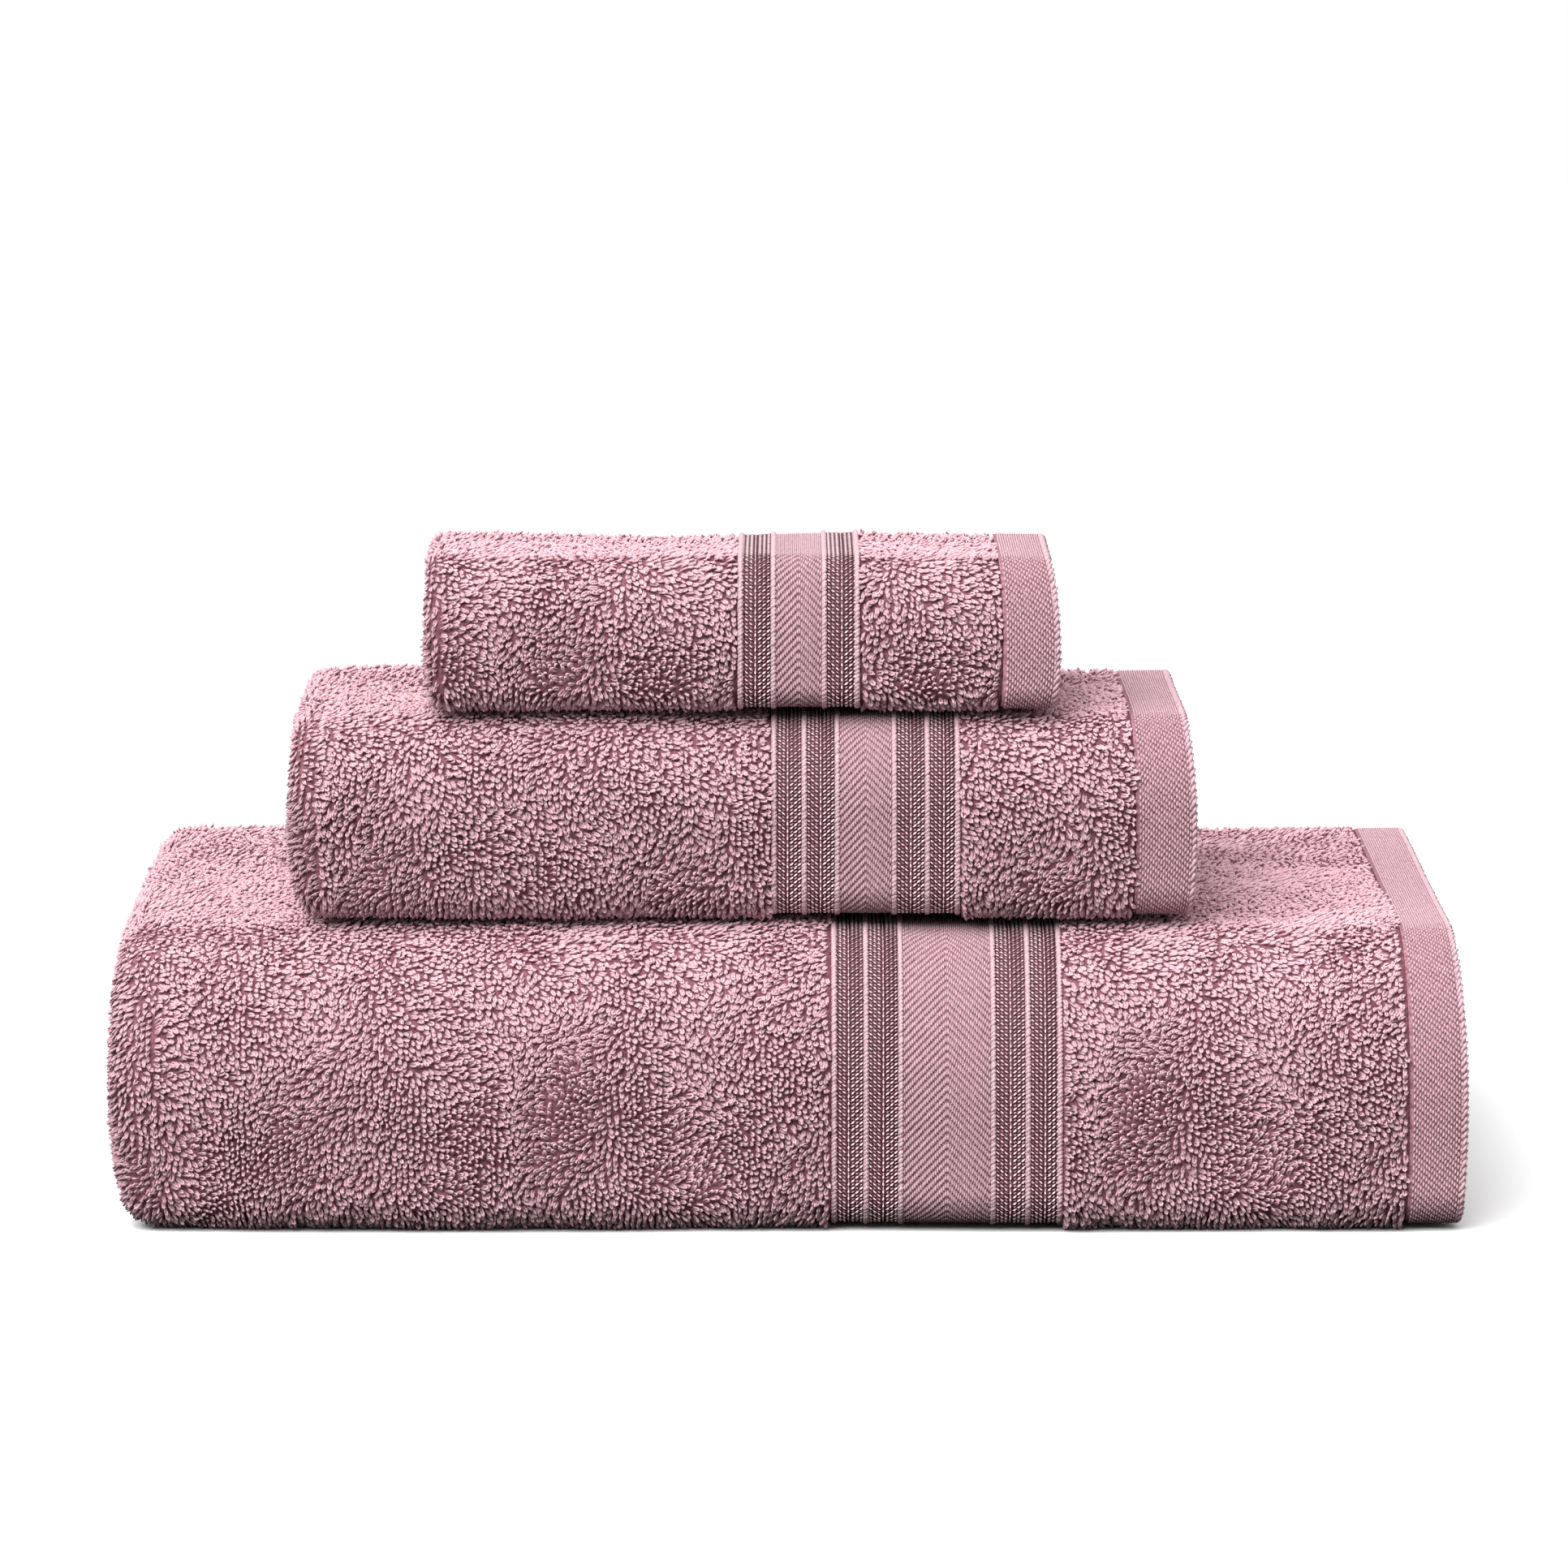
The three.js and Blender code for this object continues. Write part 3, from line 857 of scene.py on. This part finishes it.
def add_side_hem(towel, where, edge, tucked):
    """The hem along one long edge of the cloth, at the very start or end of the way round."""
    outline = outline_of(*edge)
    whole, _ = towel.way(outline[:, 1])
    main, _ = towel.way(outline[:, 1], SIDE_HEM_WIDTH, SIDE_HEM_WIDTH)
    at = -1 if tucked else 0
    share = np.linspace(0, 1, 4)[None, :, None]
    way = whole[:, at, None] * (1 - share) + main[:, at, None] * share
    made = add_strip(
        towel, f"{towel.name}_{where}_cloth", outline[:, 0], way, "weave")
    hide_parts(f"{towel.name}_{where}")
    return made


def add_all_pile(towel, shown):
    """The loops of the field and the outer end pile, over whatever of them can be seen."""
    name, seed = towel.name, towel.seed
    made = []
    right, left = zone(towel, "end_pile_outer")
    edge = 0.5 * MM
    tuck = 6 * MM
    depth = towel.middle(0) - towel.pile / 2 + PILE_HEIGHT
    end_path = np.array([[right - edge, depth], [left + edge, depth]])
    # The face that shows: flat from the border to the left fold, round that fold, and then, in
    # cloth of three or more plies, flat again as far as the fold at the right.
    fold_points = PLY_FOLD_STEPS + 1
    field_path = np.array([shown[0] - [edge, 0], shown[1]])
    left_fold = shown[1:1 + fold_points]
    left_tuck = left_fold[-1:] + [[tuck, 0]]
    fold_paths = [("left_fold", np.concatenate([left_fold, left_tuck]))]
    if len(towel.plies) > 2:
        right_fold = shown[1 + fold_points:1 + 2 * fold_points]
        start, end = right_fold[:1] - [[tuck, 0]], right_fold[-1:] - [[tuck, 0]]
        fold_paths.append(("right_fold", np.concatenate([start, right_fold, end])))
    # Each area: its name, span, loop, pitch and seed. The front has the finest pile.
    far = 0.45 * towel.depth
    front = (LOWER_CORNER, -FRONT_RUN_ON, TOP, far)
    behind = (TOP, far, MIDDLE, FRONT_RUN_ON)
    under = (BOTTOM, YARN_EDGE_STOP, LOWER_CORNER, -FRONT_RUN_ON)
    areas = [
        ("front", front, FULL_LOOP, FRONT_PITCH, seed + 10),
        ("back", behind, PLAIN_LOOP, BACK_PITCH, seed + 20),
    ]
    if not towel.on_floor:
        areas.append(("under", under, PLAIN_LOOP, UNDER_PITCH, seed + 25))
    for label, path in (("field", field_path), ("end", end_path)):
        for area, *laying in areas:
            made += add_pile(towel, f"{name}_{label}_pile_{area}", path, *laying)
    whole = (BOTTOM, YARN_EDGE_STOP, -1, -YARN_EDGE_STOP)
    for label, path in fold_paths:
        made += add_pile(
            towel, f"{name}_{label}_pile", path, whole, PLAIN_LOOP, FOLD_PITCH, seed + 27)
    return made


def woven_span(towel):
    """How far the yarn of borders and hems goes round: on the floor, not over the underside."""
    if towel.on_floor:
        return LOWER_CORNER, -WOVEN_RUN_ON, MIDDLE, WOVEN_RUN_ON
    return BOTTOM, YARN_EDGE_STOP, MIDDLE, WOVEN_RUN_ON


def add_border(towel):
    """The dobby border of the outer end: dark bands, cords and the herringbone stripe."""
    name, seed = towel.name, towel.seed
    depth = towel.middle(0) - BORDER_THICKNESS / 2
    span = woven_span(towel)
    right, left = zone(towel, "herringbone_outer")
    centre = (left + right) / 2
    cord, column = CORD_WIDTH, HERRINGBONE_COLUMN
    columns = np.arange(left + cord / 2 + column / 2, right - cord / 2, column)
    made = add_floats(
        towel, f"{name}_herringbone_floats", columns, depth, span, HERRINGBONE_PITCH,
        lambda n, x: -abs(x - centre) * HERRINGBONE_CLIMB / HERRINGBONE_PITCH,
        HERRINGBONE_LENGTH, HERRINGBONE_RADIUS, "float", seed + 30)
    cords = [left, right]
    for where in ("near", "far"):
        band_right, band_left = zone(towel, f"band_{where}_outer")
        width = band_right - band_left
        stripes = 2 if width > TWO_STRIPES_FROM else 1
        stripe = width / stripes - cord
        count = max(LEAST_COLUMNS, round(stripe / DASH_COLUMN))
        dashes = [band_left + cord / 2 + k * width / stripes + (n + 0.5) * stripe / count
                  for k in range(stripes) for n in range(count)]
        cords.append(band_right - cord / 2 if where == "near" else band_left + cord / 2)
        if stripes == 2:
            cords.append((band_left + band_right) / 2)
        # Both kinds lie in one pattern, closed up so that the strokes of a V meet.
        middle = (count - 1) / 2
        climb = stripe / count / math.tan(DASH_SLANT) / DASH_PITCH
        for row, (kind, offset, length, radius, rise, tones) in enumerate(DASH_ROWS):
            made += add_floats(
                towel, f"{name}_band_{where}_{kind}", dashes, depth, span, DASH_PITCH,
                lambda n, x: offset + abs(n % count - middle) * climb, length, radius, "dash",
                seed + 40 + 5 * row,
                slant=lambda n, x: DASH_SLANT * np.sign(n % count - middle), rise=rise,
                stations=3, tones=tones, painted_shade_up=DASH_PAINTED_SHADE_UP)
    for number, x in enumerate(cords):
        made += add_rope(towel, f"{name}_border_cord_{number + 1}", x, depth, span,
                         seed + 50 + number, BORDER_CORD)
    return made


def add_hem(towel):
    """The twill floats of the outer hem, and the rope that its edge makes."""
    name, seed = towel.name, towel.seed
    depth = towel.middle(0) - HEM_THICKNESS / 2
    span = woven_span(towel)
    right, left = zone(towel, "hem_outer")
    columns = np.arange(left + HEM_MARGINS[0], right - HEM_MARGINS[1], HEM_COLUMN)
    made = add_floats(
        towel, f"{name}_hem_floats", columns, depth, span, HEM_PITCH, lambda n, x: HEM_CLIMB * n,
        HEM_LENGTH, HEM_RADIUS, "float", seed + 70)
    edge_span = (BOTTOM, 0.3 * towel.depth, MIDDLE, WOVEN_RUN_ON)
    edge_depth = towel.middle(0) - HEM_CORD_DEPTH
    made += add_rope(towel, f"{name}_hem_edge", right - HEM_CORD_INSET, edge_depth, edge_span,
                     seed + 80, HEM_CORD)
    return made


def make_towel(towel):
    """A whole towel: its cloth and its yarn."""
    field, strips, shown = add_cloth(towel)
    yarn = add_all_pile(towel, shown) + add_border(towel) + add_hem(towel)


make_camera()
make_light()
make_floor()
MATERIALS = make_materials()
# Each towel's corners are the front's upper and lower radii, and how far the upper one is
# stretched downwards. Its plies are in the order in which the cloth runs through them.
BATH = Towel(
    "bath", "bath_towel", plies=(0, 3, 2, 1), panels=3, pile=6.0 * MM,
    corners=(32 * MM, 11 * MM, 1.5), flat=(0.7, 1.4), seed=100)
HAND = Towel(
    "hand", "hand_towel", plies=(0, 2, 1), panels=3, pile=5.45 * MM,
    corners=(19 * MM, 9 * MM, 1.4), flat=(0.405, 0.706), seed=200)
WASH = Towel(
    "wash", "washcloth", plies=(0, 1), panels=4, pile=4.6 * MM,
    corners=(15 * MM, 7 * MM, 1.9), flat=(0.33, 0.33), seed=300)
make_towel(BATH)
make_towel(HAND)
make_towel(WASH)
